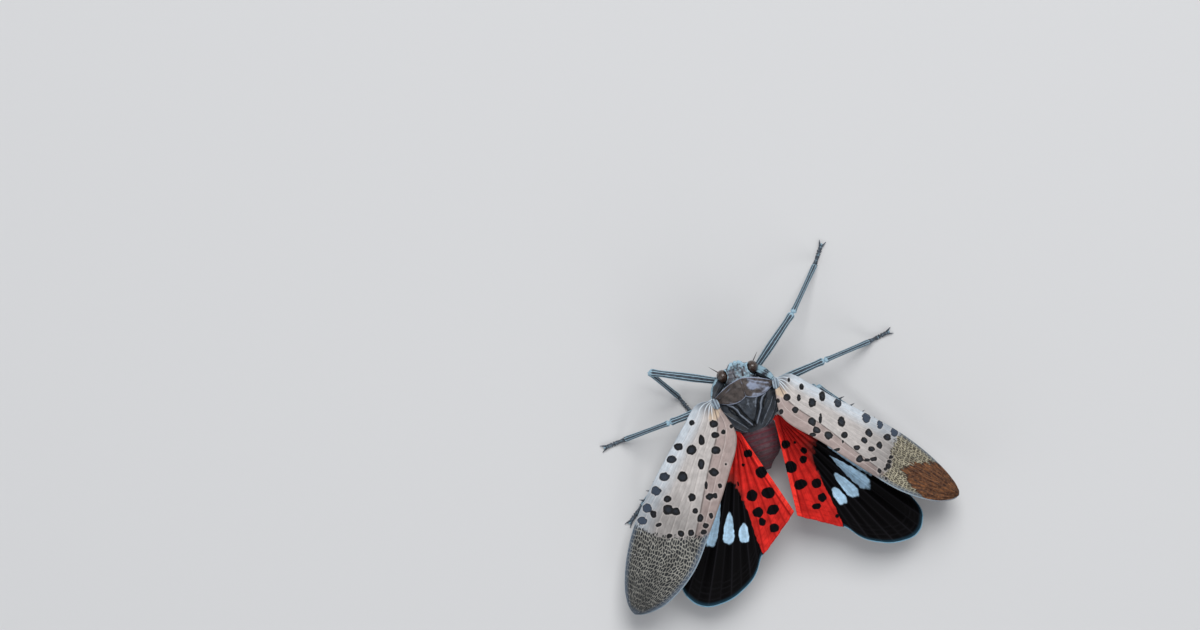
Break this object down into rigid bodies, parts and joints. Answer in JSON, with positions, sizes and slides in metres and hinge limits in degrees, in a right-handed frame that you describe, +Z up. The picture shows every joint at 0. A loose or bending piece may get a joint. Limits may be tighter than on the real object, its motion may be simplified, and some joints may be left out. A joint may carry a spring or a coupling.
{
  "type": "spotted lanternfly",
  "caption": "Life-size still model of an adult planthopper insect standing with its spotted forewings half spread over red and black hindwings.",
  "frame": {"origin": "middle of the footprint, on the surface that the feet stand on", "axes": "+Z up from the surface, -Y the way the face points, +X the animal's left"},
  "size_m": [0.034, 0.0306, 0.0088],
  "materials": {
    "head": "satin grey-brown cuticle with pale keels",
    "beak": "satin dark brown cuticle",
    "pronotum": "matt, waxy brown-grey cuticle",
    "thorax": "matt slate-grey cuticle with pale keels",
    "abdomen": "waxy mauve-brown cuticle with maroon seams",
    "eye": "smooth dark brown faceted eye",
    "antenna": "glossy orange bulb with a dark bristle",
    "tegula": "waxy pale blue-grey scale",
    "forewing": "leathery pinkish-grey membrane with black spots and a netted dark tip",
    "hindwing": "satin red and black membrane with pale bars and black spots",
    "leg": "satin slate cuticle with pale waxy edges"
  },
  "bodies": {
    "root": {"head": "head", "beak": "beak", "pronotum": "pronotum", "mesothorax": "thorax", "metathorax": "thorax", "abdomen": "abdomen", "tail_piece": "abdomen", "eye_left": "eye", "antenna_left": "antenna", "tegula_left": "tegula", "forewing_left": "forewing", "hindwing_left": "hindwing", "eye_right": "eye", "antenna_right": "antenna", "tegula_right": "tegula", "forewing_right": "forewing", "hindwing_right": "hindwing", "femur_front_left": "leg", "tibia_front_left": "leg", "foot_front_left": "leg", "femur_front_right": "leg", "tibia_front_right": "leg", "foot_front_right": "leg", "femur_middle_left": "leg", "tibia_middle_left": "leg", "foot_middle_left": "leg", "femur_middle_right": "leg", "tibia_middle_right": "leg", "foot_middle_right": "leg", "femur_hind_left": "leg", "tibia_hind_left": "leg", "foot_hind_left": "leg", "femur_hind_right": "leg", "tibia_hind_right": "leg", "foot_hind_right": "leg"}
  },
  "joints": []
}
